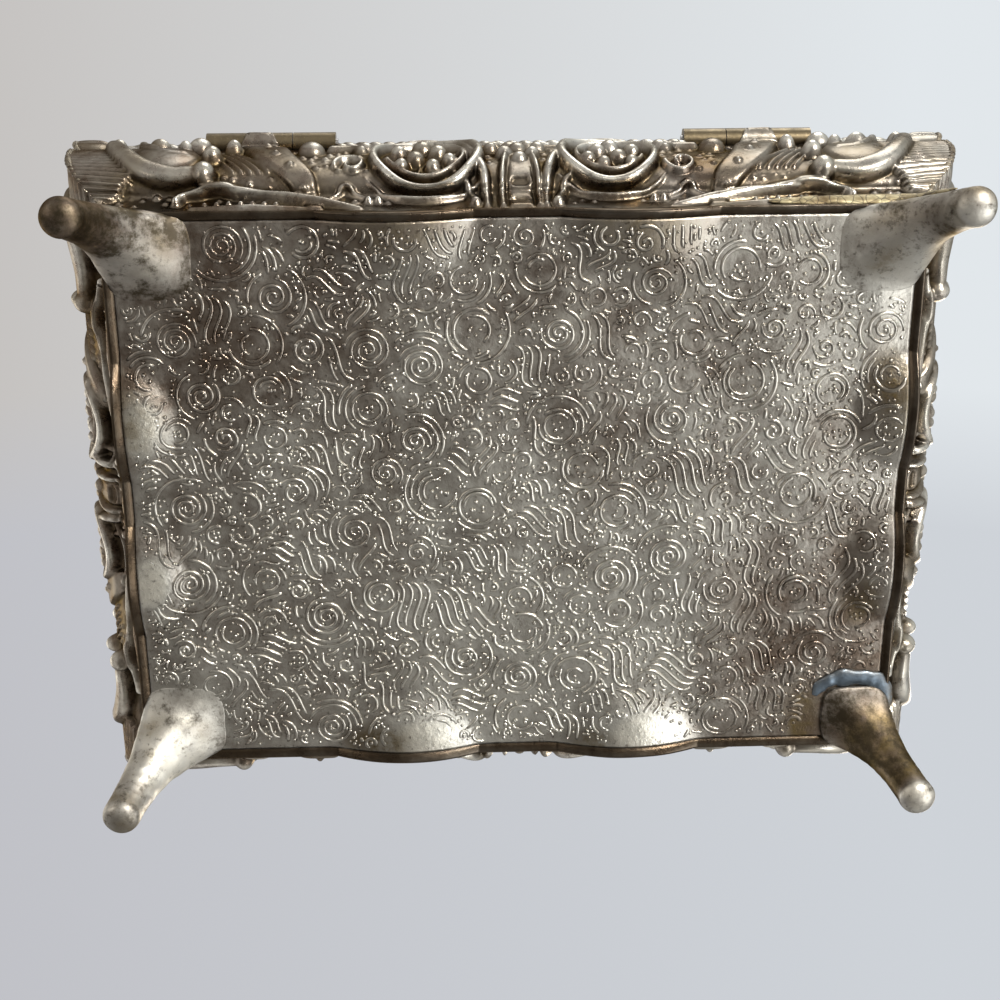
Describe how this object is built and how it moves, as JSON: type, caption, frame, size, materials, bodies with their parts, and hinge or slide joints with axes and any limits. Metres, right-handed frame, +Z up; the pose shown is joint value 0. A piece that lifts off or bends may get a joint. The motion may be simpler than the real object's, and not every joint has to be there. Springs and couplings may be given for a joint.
{
  "type": "rosary box",
  "caption": "Footed keepsake box for a rosary in cast silvered metal, with relief scroll walls, horn-shaped corner feet, a hinged domed lid and a velvet-lined well",
  "frame": {"origin": "middle of the standing footprint, on the surface the feet stand on", "axes": "+X along the long walls, +Y from the thumb shell to the hinges, +Z up"},
  "size_m": [0.0944, 0.0728, 0.0378],
  "materials": {
    "cast_silvered": "satin",
    "foot_silvered": "satin",
    "hinge_brass": "satin",
    "pin_steel": "satin",
    "velvet": "matte",
    "card": "matte"
  },
  "bodies": {
    "box": {"base_plate": "cast_silvered", "wall_front": "cast_silvered", "wall_back": "cast_silvered", "wall_left": "cast_silvered", "wall_right": "cast_silvered", "foot_front_left": "foot_silvered", "foot_front_right": "foot_silvered", "foot_back_left": "foot_silvered", "foot_back_right": "foot_silvered", "floor_card": "card", "floor_velvet": "velvet", "velvet_strip_front": "velvet", "velvet_strip_back": "velvet", "velvet_strip_left": "velvet", "velvet_strip_right": "velvet", "hinge_leaf_body_left": "hinge_brass", "hinge_leaf_body_right": "hinge_brass", "hinge_pin_left": "pin_steel", "hinge_pin_right": "pin_steel"},
    "lid": {"lid_shell": "cast_silvered", "lid_card": "card", "lid_pad": "velvet", "hinge_leaf_lid_left": "hinge_brass", "hinge_leaf_lid_right": "hinge_brass"}
  },
  "joints": [
    {"name": "lid_hinge", "type": "hinge", "parent": "box", "child": "lid", "pos_m": [0, 0.0352, 0.0281], "axis": [-1, 0, 0], "range_deg": [0, 105]}
  ]
}
